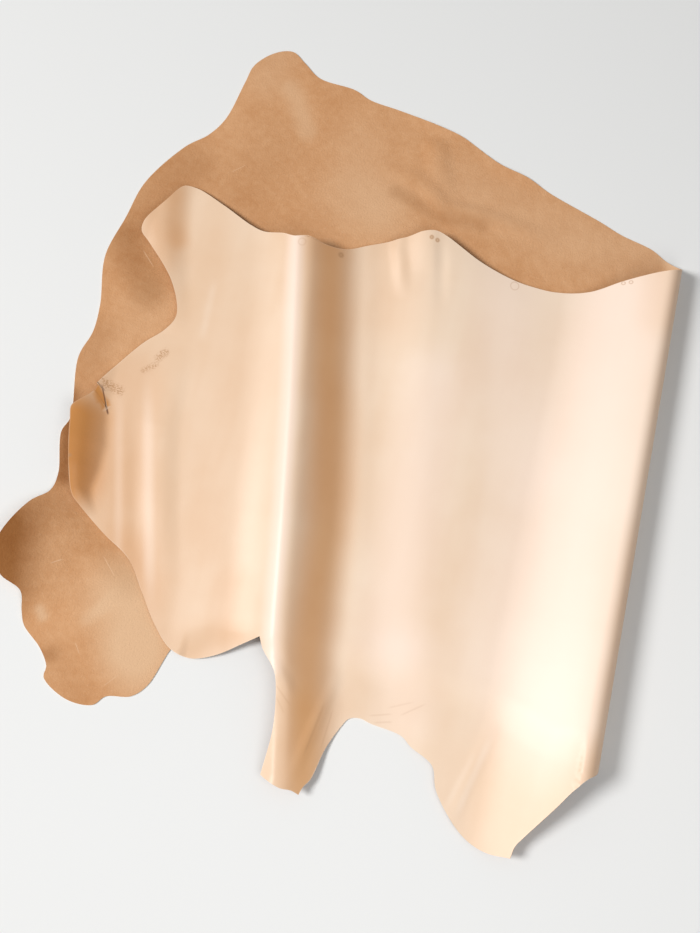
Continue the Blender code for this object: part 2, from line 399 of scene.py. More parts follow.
# %% Tables of the long folds
LONG_FOLDS = {
    # up, out of the crest, height, outer reach, shoulder and reach on the fold side
    "main crest": (
        (470, 763, 23, 95, 17, 130),
        (92, 695, 27, 95, 8, 132),
        (-130, 660, 29, 95, 8, 132),
        (-350, 628, 27, 95, 8, 132),
        (-440, 601, 23, 80, 8, 126),
        (-590, 573, 17, 60, 8, 120),
    ),
    "plateau beside the crest": (
        (470, 763, 24, 300, 17, 130),
        (92, 695, 28, 330, 8, 132),
        (-130, 660, 28, 330, 8, 132),
        (-350, 628, 26, 260, 8, 132),
        (-440, 601, 22, 190, 8, 126),
        (-590, 573, 17, 90, 8, 120),
    ),
    "swell": (
        (500, 500, 24, 110, 0, 200),
        (380, 470, 18, 120, 0, 260),
        (60, 411, 12, 120, 0, 280),
        (-290, 340, 9, 120, 0, 280),
        (-500, 290, 8, 100, 0, 200),
    ),
    "neck ridge": (
        (500, 1040, 13, 60, 0, 64),
        (400, 1032, 13, 60, 0, 64),
        (300, 1000, 9, 60, 0, 56),
        (180, 965, 0, 50, 0, 56),
    ),
    "outer ripple": (
        (160, 935, 0, 45, 0, 40),
        (0, 928, 4, 45, 0, 40),
        (-150, 895, 4, 45, 0, 40),
        (-300, 855, 1, 45, 0, 40),
    ),
    "rim curl": (
        (60, 1090, 8, 60, 0, 50),
        (0, 1108, 34, 60, 0, 76),
        (-60, 1102, 39, 60, 0, 84),
        (-110, 1085, 34, 60, 0, 64),
        (-150, 1068, 22, 60, 0, 40),
        (-200, 1036, 0, 60, 0, 30),
    ),
}
FOLD_SHAPES = {
    # crispness of the outer side, shares over which the fold side's slope sets in and dies out
    "main crest": (2.4, 0.16, 0.34),
    "plateau beside the crest": (1.0, 0.16, 0.34),
    "rim curl": (0.0, 0.5, 0.14),
}
PLAIN_FOLD_SHAPE = (0.0, 0.35, 0.35)
print("The upper layer has", len(LONG_FOLDS), "long folds")

# %% [markdown]
# ## The shape of a fold's two sides
#
# Stiff leather bends in even curves and goes straight in between. A fold's side falls from 1
# on its crest to 0 at its reach, and both ends of that fall are level, so that no hard line
# shows where the fold starts. The crest itself is rounded off a little.

# %% A fold's two sides
CREST_ROUND = 7.0


def outer_side(distance, reach, crispness):
    """A fold's outer side: 1 at the crest, 0 from its reach outwards."""
    rounded = np.sqrt(distance**2 + CREST_ROUND**2) - CREST_ROUND
    t = np.minimum(rounded / reach, 1.0)
    return (1 - t) ** 2 * (1 + (2 - crispness) * t)


def fold_side(t, setting_in, dying_out):
    """A slope that sets in, runs evenly and dies out, from 1 down to 0."""
    steepest = 1 / (1 - setting_in / 2 - dying_out / 2)
    start = 1 - steepest * t * t / (2 * setting_in)
    middle = 1 - steepest * (t - setting_in / 2)
    end = steepest * (1 - t) ** 2 / (2 * dying_out)
    return np.where(t < setting_in, start, np.where(t < 1 - dying_out, middle, end))


def folds_height(out, up):
    """Height that the long folds add to the upper layer."""
    height = np.zeros_like(out)
    for name, rows in LONG_FOLDS.items():
        places, *columns = np.array(sorted(rows), dtype=float).T
        crest, top, outer, shoulder, reach = (np.interp(up, places, col) for col in columns)
        crispness, setting_in, dying_out = FOLD_SHAPES.get(name, PLAIN_FOLD_SHAPE)
        beyond = outer_side(np.maximum(out - crest, 0.0), outer, crispness)
        t = np.clip((crest - out - shoulder) / (reach - shoulder), 0.0, 1.0)
        height += top * np.where(out > crest, beyond, fold_side(t, setting_in, dying_out))
    return height


crest_up, crest_out = np.array([row[:2] for row in LONG_FOLDS["main crest"]], dtype=float).T
print("The crest stands", folds_height(crest_out, crest_up).round(1), "mm high along its rows")

# %% [markdown]
# ## How the under layer lies
#
# The under layer lies flat on the floor, apart from its raised tip and two low rises at its
# upper edge. Moving single points by hand would leave kinks, so each is a soft round bump in a
# table, and the upper layer follows it where it lies over it.

# %% The under layer's lifts
LIFTS = (
    # out, up, height, reach across the fold, reach along it
    ("raised tip", -1215, -275, 36, 210, 190),
    ("middle of the upper edge", -515, 760, 9, 130, 80),
    ("upper edge near the fold", -350, 690, 8, 120, 80),
)


def lift_height(out, up):
    """Height of the under layer above the floor."""
    height = np.zeros_like(out)
    for _name, at_out, at_up, top, reach_out, reach_up in LIFTS:
        d = ((out - at_out) / reach_out) ** 2 + ((up - at_up) / reach_up) ** 2
        height += top * np.maximum(1 - d, 0.0) ** 2
    return height


print("The under layer is lifted at", [name for name, *_numbers in LIFTS])

# %% [markdown]
# ## The roll and the way the sheet folds
#
# At the fold the sheet doesn't crease: it rolls over in a loose tube, a little past half a
# turn, and comes down over the under layer. Where the upper layer reaches past the under one,
# it sinks to the floor. One function takes a point of the opened sheet to its place in space.
# With it, any detail can be laid out on the flat sheet first.

# %% From the opened sheet to the folded one
# the middle of the folded sheet, which is the part's origin
MIDDLE_ACROSS = 540.84
MIDDLE_UP = 85.86
HIDE_THICK = 2.2
# air between the layers, and below the upper one where it reaches past the under one
LAYER_GAP = 2.6
OVERHANG_GAP = 0.3
OVERHANG_START = 3.0
OVERHANG_REACH = 70.0
FAR_BELOW = -1e4
# up and radius at the roll's two ends
ROLL_RADII = ((-455.0, 40.0), (505.0, 34.0))
ROLL_NARROWING = 0.75
ROLL_PAST_HALF = math.radians(15)
ROLL_WIDTH = 122.0
ROLL_FALL_REACH = 170.0


def hidden_edge_up(across):
    """Where the under layer's lower edge lies, below the upper layer."""
    rows = next(points for name, _start, points in EDGE if name == "hidden edge")
    half = ROLL_WIDTH / 2
    reach = [-out - half for out, _up in reversed(rows)]
    ups = [up for _out, up in reversed(rows)]
    return np.where(across > reach[-1], FAR_BELOW, np.interp(across, reach, ups))


def place(out, up):
    """Where points of the opened sheet's grain side lie, as rows of x, y, z."""
    (low_up, low_radius), (high_up, high_radius) = ROLL_RADII
    radius = np.interp(up, (low_up, high_up), (low_radius, high_radius))
    half = ROLL_WIDTH / 2
    under = out <= -half
    rolled = ~under & (out <= half)
    angle = (out + half) / ROLL_WIDTH * (math.pi + ROLL_PAST_HALF)
    narrow = radius * ROLL_NARROWING
    turned = radius * np.sin(angle)
    turned = np.where(angle > math.pi / 2, radius - narrow * (1 - np.sin(angle)), turned)
    top = radius * (1 + math.cos(ROLL_PAST_HALF))
    t = np.clip((out - half) / ROLL_FALL_REACH, 0.0, 1.0)
    drawn_in = (radius - narrow) * (1 + math.sin(ROLL_PAST_HALF)) * (1 - t * t * (3 - 2 * t))
    across = out - half + radius * math.sin(ROLL_PAST_HALF) - drawn_in
    rest = 2 * HIDE_THICK + LAYER_GAP
    slope = math.tan(ROLL_PAST_HALF) / ROLL_NARROWING
    crispness = 2 - slope * ROLL_FALL_REACH / (top - rest)
    over = np.clip((hidden_edge_up(across) - up - OVERHANG_START) / OVERHANG_REACH, 0.0, 1.0)
    droop = over * over * (3 - 2 * over) * (rest - HIDE_THICK - OVERHANG_GAP)
    upper = rest + (top - rest) * (1 - t) ** 2 * (1 + crispness * t) - droop
    upper += lift_height(-across - half, up) + folds_height(out, up)
    x = np.where(under, half + out, np.where(rolled, turned, -across))
    rising = radius * (1 - np.cos(angle))
    z = np.where(under, lift_height(out, up), np.where(rolled, rising, upper))
    return np.stack([x + MIDDLE_ACROSS, up - MIDDLE_UP, z], axis=1)


edge_in_space = place(*outline.T)
print("Folded, the outline spans", np.ptp(edge_in_space, axis=0).round(1), "mm")

# %% [markdown]
# ## Creases
#
# The smaller forms are soft ridges along short lines: where the edge was pulled, where the
# shank twists, and where the sheet was bent before. They could be sculpted, but a line of two
# or three points on the opened sheet says the same and can be moved later.

# %% Creases
CREASES = (
    # height, reach to each side, points of its line
    ("pulled edge", 4.5, 20, ((572, 540), (562, 440), (534, 345))),
    ("bulge of the pulled edge", 5.0, 52, ((520, 560), (506, 400))),
    ("groove of the pulled edge", -2.5, 18, ((490, 500), (474, 430), (456, 330))),
    ("first long ripple", 0.8, 18, ((1021, 71), (968, -140), (917, -338))),
    ("twist of the shank", 2.0, 16, ((500, -380), (522, -480), (548, -600))),
    ("bump on the shank", 3.0, 18, ((640, -375), (575, -440))),
    ("bend of the lower lobe", 2.5, 20, ((206, -405), (226, -500), (256, -630))),
    ("bend across the flesh", 4.5, 26, (
        (-653, 607), (-558, 591), (-503, 547), (-426, 545), (-348, 536), (-263, 520),
    )),
    ("bend down the flesh", 4.0, 34, ((-545, 690), (-541, 664), (-500, 554))),
)
print("The sheet has", [name for name, *_numbers in CREASES])

# %% [markdown]
# ## Tones of the grain side
#
# Some of these tones are painted light: painted shade in the hollow beside the crest, on the
# curled rim, the roll, the neck's slope and the shank, and painted highlights just outside the
# crest and on the slope beside the fold. The others make the tan browner or paler in soft
# patches. Vertex paint could hold such tones, but nobody would see afterwards where each one
# came from. They are laid along lines too, in the same kind of table.

# %% Tones of the grain side
BROWNED_AND_SHADED_GRAIN_PLACES = (
    # strength, reach to each side, points of its line
    # painted shade: the crest's fold side turns away from the lamp here
    ("hollow beside the crest", 0.72, 70, (
        (703, 470), (640, 160), (620, 92), (579, -130), (564, -350), (547, -440), (512, -620),
    )),
    # painted shade on the rim curl and its inner slope, which turn away from the lamp
    ("curled rim", 1.0, 82, ((1092, -22), (1088, -60), (1074, -150))),
    ("inner slope of the rim", 0.09, 46, ((1036, -10), (1028, -120))),
    ("torn fibres", 1.0, 11, ((1068, 46), (1046, 18))),
    ("left of the neck", 0.35, 70, ((1045, 450), (1040, 400), (1010, 340))),
    # partly painted shade on the neck's slope, partly a browner tan
    ("slope of the neck", 0.32, 34, ((1012, 480), (998, 410), (985, 370))),
    ("outer part of the belly", 0.3, 110, ((1010, 60), (1000, -60), (950, -220), (890, -300))),
    ("edge of the belly", 0.17, 70, ((700, -370), (780, -410), (860, -370), (940, -240))),
    ("slope beside the notch", 0.26, 60, ((714, -345), (722, -270))),
    # painted shade: the hollow's dark band carried down the shank
    ("lower part of the shank", 0.12, 70, ((560, -470), (555, -600))),
    ("middle of the belly", 0.14, 130, ((770, -190), (800, 150))),
    ("beside the hollow", 0.15, 100, ((560, 460), (535, 300))),
    ("above the lower edge", 0.06, 70, ((470, -440), (380, -440))),
    ("lower lobe", 0.24, 160, ((120, -640), (175, -560), (180, -500))),
    ("low end of the fold", 0.2, 70, ((66, -530), (50, -440))),
    # painted shade where the roll turns away from the lamp
    ("roll", 0.45, 62, ((-4, 540), (-4, -520))),
    ("upper end of the fold", 0.16, 60, ((70, 480), (60, 390))),
)
BLOOMED_AND_HIGHLIT_GRAIN_PLACES = (
    # painted highlight just outside the crest, on the slope that faces the lamp
    ("top of the crest", 0.7, 26, (
        (769, 470), (701, 92), (666, -130), (634, -350), (619, -400),
    )),
    # painted highlight on the slope beside the roll, which faces the lamp
    ("beside the fold", 0.7, 145, ((128, 430), (128, -400))),
    ("dip beside the swell", 0.4, 110, ((340, 440), (320, 300), (250, 60))),
    ("outer side of the swell", 0.45, 100, ((436, 190), (425, -130), (425, -300))),
    ("above the notch", 0.35, 90, ((385, -330), (365, -430))),
    ("inner side of the swell", 0.3, 110, ((250, -60), (250, -300))),
)
print(len(BROWNED_AND_SHADED_GRAIN_PLACES), "browned and", len(BLOOMED_AND_HIGHLIT_GRAIN_PLACES), "bloomed places")

# %% [markdown]
# ## Tones of the flesh side
#
# The flesh side drinks up water and dirt and got stains of its own, darker by the neck, so it
# has its own two tables. Its darkest tones, at the raised tip and beside the curled rim, are
# painted shade where the leather turns away from the lamp or lies in the rim's shadow.

# %% Tones of the flesh side
BROWNED_AND_SHADED_FLESH_PLACES = (
    # painted shade where the raised tip turns away from the lamp
    ("raised tip", 1.15, 105, ((-1178, -255), (-1170, -345))),
    ("beside the raised tip", 0.26, 55, ((-1114, -184), (-1090, -190))),
    ("stain beside the neck", 0.5, 62, ((-1095, 345), (-1030, 262))),
    ("edge beside the neck", 0.32, 80, ((-1013, 530), (-1084, 406))),
    ("hollow above the upper layer", 0.14, 120, ((-864, 594), (-903, 499))),
    ("outer edge", 0.22, 60, ((-1108, 150), (-1108, 60))),
    ("shade of the curled rim", 0.8, 36, ((-1130, 20), (-1108, -60), (-1102, -130))),
    ("edge of the lower lobe", 0.14, 60, ((-1040, -470), (-980, -520))),
    ("stain of the lower lobe", 0.35, 24, ((-1050, -468), (-1036, -462))),
    ("below the long edge", 0.2, 50, ((-1035, -215), (-980, -262), (-930, -300))),
    ("fold side of the flesh crease", 0.3, 24, ((-600, 560), (-510, 530), (-420, 528))),
)
BLOOMED_FLESH_PLACES = (
    ("shank", 0.35, 70, ((-895, 790), (-900, 740))),
    ("streak in the shank", 0.5, 34, ((-850, 730), (-824, 691), (-800, 650))),
    ("middle", 0.3, 110, ((-700, 530), (-620, 520))),
    ("near the fold", 0.32, 95, ((-497, 600), (-284, 540), (-104, 535))),
    ("above the upper edge", 0.25, 90, ((-690, 640), (-640, 520))),
    ("inside of the roll", 1.0, 36, ((-45, 540), (-20, 505))),
    ("beside the curved neck", 0.2, 80, ((-1018, 221), (-1074, 126))),
    ("lower lobe", 1.0, 120, ((-880, -400), (-930, -330))),
    ("end of the lower lobe", 0.4, 80, ((-870, -480), (-900, -440))),
    ("worn spot", 0.8, 16, ((-1078, -386), (-1070, -398))),
    ("streak of the lower lobe", 0.4, 20, ((-990, -387), (-945, -333))),
)
print(len(BROWNED_AND_SHADED_FLESH_PLACES), "browned and", len(BLOOMED_FLESH_PLACES), "bloomed places")

# %% [markdown]
# ## Soft marks along lines
#
# Creases and tones fade out in the same way, so one function serves both. It measures how far
# each point of the sheet lies from a mark's line, and adds up what all the marks leave there.

# %% Soft marks along lines
def beside(line, points):
    """How far each point lies from a line of several stretches, and how far along it."""
    best = np.full(len(points), np.inf)
    along = np.zeros(len(points))
    stretches = len(line) - 1
    for i in range(stretches):
        start, end = np.array(line[i], float), np.array(line[i + 1], float)
        span = end - start
        t = np.clip((points - start) @ span / (span @ span), 0.0, 1.0)
        distance = np.linalg.norm(points - start - t[:, None] * span, axis=1)
        along = np.where(distance < best, (i + t) / stretches, along)
        best = np.minimum(best, distance)
    return best, along


def soft_marks(rows, points, tapered=False):
    """The sum of soft marks: each fades from its own strength to nothing at its reach."""
    total = np.zeros(len(points))
    for _name, strength, reach, line in rows:
        distance, along = beside(line, points)
        share = np.minimum(distance / reach, 1.0)
        ends = np.sin(along * math.pi) if tapered else 1.0
        total += strength * (1 - share**2) ** 2 * ends
    return total


raised = soft_marks(CREASES, outline, tapered=True)
print("On the outline the creases add", raised.min().round(1), "to", raised.max().round(1), "mm")

# %% [markdown]
# ## Inside and near the outline
#
# A cloth simulation would fold the hide somehow, but not as this one lies. So the sheet is
# made in mesh code, with points that we place ourselves. For that we have to know which points
# lie within the outline, which keep clear of it, and which are hidden below the upper layer.

# %% Inside and near the outline
HIDDEN_MARGINS = ((60, 0), (-80, 0), (0, 60), (0, -60))


def inside(polygon, points):
    """Which points lie within the polygon."""
    result = np.zeros(len(points), dtype=bool)
    for (x1, y1), (x2, y2) in zip(polygon, np.roll(polygon, -1, axis=0)):
        if y1 == y2:
            continue
        crosses = (y1 > points[:, 1]) != (y2 > points[:, 1])
        at = x1 + (points[:, 1] - y1) / (y2 - y1) * (x2 - x1)
        result ^= crosses & (at > points[:, 0])
    return result


def clear_of(polygon, points, margin):
    """Which points lie further than the margin from the polygon's own points."""
    near = set()
    for x, y in (polygon / margin).round().astype(int):
        near.update((x + i, y + j) for i in (-1, 0, 1) for j in (-1, 0, 1))
    cells = (points / margin).round().astype(int)
    return np.array([(x, y) not in near for x, y in cells])


def covered(points):
    """Which points of the under layer lie well below the upper layer."""
    over = np.stack([-points[:, 0], points[:, 1]], axis=1)
    hidden = points[:, 0] < -ROLL_WIDTH
    for shift in HIDDEN_MARGINS:
        hidden &= inside(outline, over + shift)
    return hidden


print(covered(outline).sum(), "points of the outline are hidden")

# %% [markdown]
# ## The sheet's points
#
# The points stand in an even, staggered grid, coarse where the under layer is hidden, so that
# the fine triangles go where they are seen. A ring of points just inside the outline keeps the
# painted highlight along the cut edge narrow.

# %% Points of the sheet
FINE_SPACING = 6.6
HIDDEN_SPACING = 16.0
EDGE_MARGIN = 0.8
EDGE_LINE = 1.8


def staggered(spacing):
    """Grid points inside the outline, every second row moved by half a step."""
    low, high = outline.min(axis=0), outline.max(axis=0)
    rise = spacing * math.sqrt(3) / 2
    steps = np.arange(low[0], high[0], spacing), np.arange(low[1], high[1], rise)
    across, along = np.meshgrid(*steps)
    across[1::2] += spacing / 2
    points = np.stack([across.ravel(), along.ravel()], axis=1)
    points = points[inside(outline, points)]
    return points[clear_of(outline, points, EDGE_MARGIN * EDGE_SPACING)]


run = np.roll(outline, -1, axis=0) - np.roll(outline, 1, axis=0)
inward = run[:, ::-1] * (-1, 1) / np.linalg.norm(run, axis=1)[:, None]
ring = outline + inward * EDGE_LINE
ring = ring[inside(outline, ring)]
fine = staggered(FINE_SPACING)
coarse = staggered(HIDDEN_SPACING)
inner = np.concatenate([ring, fine[~covered(fine)], coarse[covered(coarse)]])
print(len(outline), "points on the edge and", len(inner), "inside")

# %% [markdown]
# ## Filling the outline and folding it
#
# A triangulation joins the points to a flat sheet, which no grid could do along such an
# outline. `place` then folds it, point by point, and the creases are added on top.

# %% The folded points
FILL_INSIDE = 1
SAME_POINT = 1e-4
flat_points = [Vector(point) for point in np.concatenate([outline, inner])]
rim = [(i, (i + 1) % len(outline)) for i in range(len(outline))]
verts, _edges, faces, *_origins = delaunay_2d_cdt(flat_points, rim, [], FILL_INSIDE, SAME_POINT)
opened = np.array([tuple(vert) for vert in verts])
folded = place(*opened.T)
folded[:, 2] += soft_marks(CREASES, opened, tapered=True)
folded *= MM
print(len(faces), "triangles on one side, up to", folded[:, 2].max().round(3), "m high")

# %% [markdown]
# ## Torn fibres
#
# In the tear the hide has come apart, and torn fibres show between its two sides. A little
# flap lies there, half a millimetre below the surface. It is a net of its own between four
# corners, fine enough to follow the bend.

# %% Torn fibres
TORN_CORNERS = ((1040, 3), (1052, 44), (1066, 52), (1069, 32))
TORN_POINTS = 7
TORN_DEPTH = 0.5

near_end, far_end, far_start, near_start = np.array(TORN_CORNERS, dtype=float)
share = np.linspace(0.0, 1.0, TORN_POINTS)[:, None]
near_side = near_end + (near_start - near_end) * share
far_side = far_end + (far_start - far_end) * share
torn = (near_side[:, None] + (far_side - near_side)[:, None] * share).reshape(-1, 2)
torn_at = place(*torn.T)
torn_at[:, 2] -= TORN_DEPTH
torn_faces = []
for i in range(TORN_POINTS - 1):
    for j in range(TORN_POINTS - 1):
        corner = len(opened) + i * TORN_POINTS + j
        torn_faces.append([corner, corner + 1, corner + TORN_POINTS + 1, corner + TORN_POINTS])
opened = np.concatenate([opened, torn])
folded = np.concatenate([folded, torn_at * MM])
print("The flap has", len(torn_faces), "faces")

# %% [markdown]
# ## The mesh with its map and tones
#
# The points and faces become a mesh. Each point keeps its place on the opened sheet as its UV,
# so that the finishes follow the leather through its folds instead of sliding over it, and the
# tones go with the points as attributes. From about the middle of the roll onwards the flesh
# side is out of sight, and the grain side's tones begin.

# %% The leather's mesh
FLESH_SEEN_TO = -10.0

mesh = bpy.data.meshes.new("leather")
mesh.from_pydata(folded.tolist(), [], [face[::-1] for face in faces] + torn_faces)
corner_vert = np.empty(len(mesh.loops), dtype=int)
mesh.loops.foreach_get("vertex_index", corner_vert)
laid_out = mesh.uv_layers.new(name="opened")
laid_out.uv.foreach_set("vector", (opened[corner_vert] * MM).astype(np.float32).ravel())
on_flesh = opened[:, 0] < FLESH_SEEN_TO
# the tones carry painted shade and painted highlights as well as browner and paler patches
for name, grain_rows, flesh_rows in (
    ("browned_and_shaded", BROWNED_AND_SHADED_GRAIN_PLACES, BROWNED_AND_SHADED_FLESH_PLACES),
    ("bloomed_and_highlit", BLOOMED_AND_HIGHLIT_GRAIN_PLACES, BLOOMED_FLESH_PLACES),
):
    laid = np.where(on_flesh, soft_marks(flesh_rows, opened), soft_marks(grain_rows, opened))
    tone = mesh.attributes.new(name, "FLOAT", "POINT")
    tone.data.foreach_set("value", laid.clip(0.0, 1.0).astype(np.float32))
# the outline's points, where the painted highlight along the cut edge lies
rim_line = mesh.attributes.new("edge", "FLOAT", "POINT")
rim_line.data.foreach_set("value", (np.arange(len(opened)) < len(outline)).astype(np.float32))
leather = bpy.data.objects.new("leather", mesh)
bpy.context.scene.collection.objects.link(leather)
print("The mesh carries", [layer.name for layer in mesh.attributes if layer.domain == "POINT"])

# %% [markdown]
# ## Marks of the grain side
#
# Clamps held the hide while it dried and left small rings near the upper edge. The animal's
# scars are lines, and so are the painted shade in fine wrinkles and in the tear, and the
# painted highlights along the ripples and creases. A painted picture could hold all of this,
# but formulas stay clear at any distance, and each mark is a row that can be changed.

# %% Marks of the grain side
RINGS = (
    # strength, ring's radius and half width in metres, middle on the opened sheet
    ("clamp ring by the crest", 0.20, 0.007, 0.0026, (0.744, 0.400)),
    ("clamp ring in the hollow", 0.75, 0.0030, 0.0045, (0.668, 0.401)),
    ("clamp mark at the peak, out", 0.75, 0.0025, 0.0036, (0.503, 0.470)),
    ("clamp mark at the peak, in", 0.75, 0.0025, 0.0036, (0.491, 0.467)),
    ("clamp ring by the swell", 0.30, 0.0080, 0.0020, (0.326, 0.414)),
    ("clamp mark by the fold, left", 0.50, 0.0030, 0.0018, (0.131, 0.455)),
    ("clamp mark by the fold, right", 0.50, 0.0030, 0.0018, (0.119, 0.458)),
    ("dot in the scar", 0.95, 0.0, 0.0028, (0.966, 0.141)),
    ("spot on the rim", 0.70, 0.0, 0.0060, (1.078, -0.097)),
)
# painted highlights along the ripples and creases, on the side that faces the lamp
HIGHLIGHT_STREAKS = (
    # strength, half width in metres, ends on the opened sheet
    ("first long streak", 0.12, 0.014, (1.035, 0.090), (0.926, -0.360)),
    ("second long streak", 0.22, 0.018, (0.985, 0.110), (0.860, -0.370)),
    ("streak below the neck", 0.14, 0.012, (0.897, 0.310), (0.893, 0.170)),
    ("streak of the lower lobe", 0.20, 0.010, (0.204, -0.424), (0.243, -0.600)),
    ("second streak of the lower lobe", 0.13, 0.009, (0.226, -0.460), (0.266, -0.590)),
)
SCUFFS = (
    # the same numbers, as in the tables below
    ("scar, upper part", 1.4, 0.012, (0.974, 0.120), (0.950, 0.150)),
    ("scar, lower part", 1.0, 0.010, (0.998, 0.092), (0.962, 0.120)),
    ("wrinkles beside the tear", 1.5, 0.015, (1.066, 0.062), (1.012, 0.046)),
    ("corner of the neck", 1.2, 0.007, (1.078, 0.066), (1.052, 0.062)),
    ("frayed upper edge", 0.70, 0.004, (0.750, 0.414), (0.700, 0.411)),
)
# painted shade in fine wrinkles, too fine for the mesh
SHADED_WRINKLES = (
    ("by the lower edge", 0.18, 0.003, (0.434, -0.448), (0.386, -0.434)),
    ("by the lower edge, lower", 0.18, 0.003, (0.422, -0.458), (0.383, -0.448)),
    ("by the lower edge, right", 0.17, 0.003, (0.378, -0.437), (0.330, -0.402)),
    ("by the lower edge, upper", 0.13, 0.003, (0.404, -0.428), (0.352, -0.404)),
    ("along the shank", 0.30, 0.004, (0.513, -0.436), (0.532, -0.549)),
    ("beside the shank's fold", 0.20, 0.003, (0.496, -0.440), (0.504, -0.530)),
    ("on the shank's outer side", 0.20, 0.003, (0.612, -0.424), (0.570, -0.462)),
    ("on the shank's outer side, lower", 0.15, 0.003, (0.604, -0.446), (0.578, -0.478)),
)
# painted shade in the gaps of the tear
TORN_SHADE_LINES = (
    ("far side of the tear", 0.85, 0.0024, (1.062, 0.058), (1.034, -0.003)),
    ("corner of the tear", 0.85, 0.0024, (1.079, 0.063), (1.049, 0.041)),
    ("end of the tear", 0.9, 0.0030, (1.045, 0.020), (1.034, -0.002)),
)
print(len(HIGHLIGHT_STREAKS + SCUFFS + SHADED_WRINKLES + TORN_SHADE_LINES), "lines and", len(RINGS), "rings or dots")

# %% [markdown]
# ## The grain side's colour
#
# The smooth side takes its colour from the tanning liquor: pale peach, a little blotchy in
# long bands, and warmer towards the belly and neck. One plain colour would look like plastic,
# so two noises mix a pale and a warm one. The sheet's tones are laid over them, and these hold
# painted highlights and painted shade along the folds as well as paler and browner patches.

# %% The grain side's colour
GRAIN_PALE = (0.87, 0.69, 0.53, 1.0)
GRAIN_WARM = (0.76, 0.52, 0.34, 1.0)
# browner tan, and painted shade where the folds turn away from the lamp
GRAIN_BROWNED_AND_SHADED = (0.80, 0.49, 0.20, 1.0)
# paler tan, and painted highlights where the folds face the lamp
GRAIN_BLOOMED_AND_HIGHLIT = (0.96, 0.78, 0.67, 1.0)
WARM_BLOTCHES = {"scale": 3.2, "detail": 4.0, "roughness": 0.55}
WARM_BANDS = {"scale": 1.0, "detail": 3.0, "roughness": 0.5}
BAND_STRETCH = (9.0, 1.3, 1.0)
SOFT_STEP = (0.35, 0.7)
BLOTCH_SHARE = 0.4
BAND_SHARE = 0.3
OUTER_STEP = (0.4, 1.0)
OUTER_SHARE = 0.5

grain = Finish("grain side", roughness=0.42)
sheet_at = grain.node("ShaderNodeUVMap", {"uv_map": "opened"})
out_from_fold = grain.node("ShaderNodeSeparateXYZ", None, (sheet_at,), "X")
blotches = grain.noise(sheet_at, **WARM_BLOTCHES).rises(*SOFT_STEP) * BLOTCH_SHARE
banded_at = grain.stretched(sheet_at, BAND_STRETCH)
bands = grain.noise(banded_at, **WARM_BANDS).rises(*SOFT_STEP) * BAND_SHARE
warmth = blotches + bands + out_from_fold.rises(*OUTER_STEP) * OUTER_SHARE
colour = grain.mix(warmth.clamped(), GRAIN_PALE, GRAIN_WARM)
# paler patches and painted highlights, then browner patches and painted shade
colour = grain.mix(grain.tone("bloomed_and_highlit"), colour, GRAIN_BLOOMED_AND_HIGHLIT)
colour = grain.mix(grain.tone("browned_and_shaded"), colour, GRAIN_BROWNED_AND_SHADED, "MULTIPLY")
print("The grain side's colour has", len(grain.nodes), "nodes so far")

# %% [markdown]
# ## Laying on the marks
#
# Each table's marks are mixed in one after the other, the painted highlights along the ripples
# first, so that nothing lightens a scuff or the painted shade in the tear again. A scuff isn't
# one even stroke but rubbed in specks, so a fine noise breaks it up. The painted shade in the
# wrinkles stays whole.

# %% The grain side's marks
# pale of the painted highlights; brown of the scuffs and clamp marks and of the painted shade in
# wrinkles; near black of the painted shade in the tear
GRAIN_STREAK_HIGHLIGHT = (0.95, 0.83, 0.72, 1.0)
GRAIN_SCUFF_AND_CREASE_SHADE = (0.50, 0.27, 0.13, 1.0)
GRAIN_TORN_SHADE = (0.17, 0.07, 0.035, 1.0)
SPECKS = {"scale": 1.0, "detail": 3.0, "roughness": 0.7}
SPECK_STRETCH = (240.0, 420.0, 1.0)
SPECK_STEP = (0.42, 0.62)

# painted highlights along the ripples and creases
for _name, strength, half_width, start, end in HIGHLIGHT_STREAKS:
    streak = grain.line(sheet_at, start, end, half_width) * strength
    colour = grain.mix(streak, colour, GRAIN_STREAK_HIGHLIGHT)
patchy = grain.noise(grain.stretched(sheet_at, SPECK_STRETCH), **SPECKS).rises(*SPECK_STEP)
for _name, strength, half_width, start, end in SCUFFS:
    worn = grain.line(sheet_at, start, end, half_width) * patchy * strength
    colour = grain.mix(worn, colour, GRAIN_SCUFF_AND_CREASE_SHADE)
# painted shade in the fine wrinkles
for _name, strength, half_width, start, end in SHADED_WRINKLES:
    wrinkle_shade = grain.line(sheet_at, start, end, half_width) * strength
    colour = grain.mix(wrinkle_shade, colour, GRAIN_SCUFF_AND_CREASE_SHADE)
# painted shade in the gaps of the tear
for _name, strength, half_width, start, end in TORN_SHADE_LINES:
    torn_shade_line = grain.line(sheet_at, start, end, half_width) * strength
    colour = grain.mix(torn_shade_line, colour, GRAIN_TORN_SHADE)
for _name, strength, radius, half_width, middle in RINGS:
    pressed = grain.ring(sheet_at, middle, radius, half_width) * strength
    colour = grain.mix(pressed, colour, GRAIN_SCUFF_AND_CREASE_SHADE)
print("With its marks it has", len(grain.nodes), "nodes")

# %% [markdown]
# ## The edge and the pores
#
# Along the cut, a painted highlight lies in places where the grain side's edge catches the
# light. Close up the surface has the fine pebble of the pores, which a bump shows well enough,
# because it is only a tenth of a millimetre deep.

# %% The grain side's edge and pores
GRAIN_EDGE_HIGHLIGHT = (0.90, 0.70, 0.52, 1.0)
EDGE_HIGHLIGHT_PATCHES = {"scale": 12.0, "detail": 2.0, "roughness": 0.5}
EDGE_STEP = (0.35, 0.65)
EDGE_SHARE = 0.6
PORES = {"scale": 900.0, "detail": 2.0, "roughness": 0.6}
PEBBLE_SCALE = 650.0
PORE_DEPTH = 0.00012

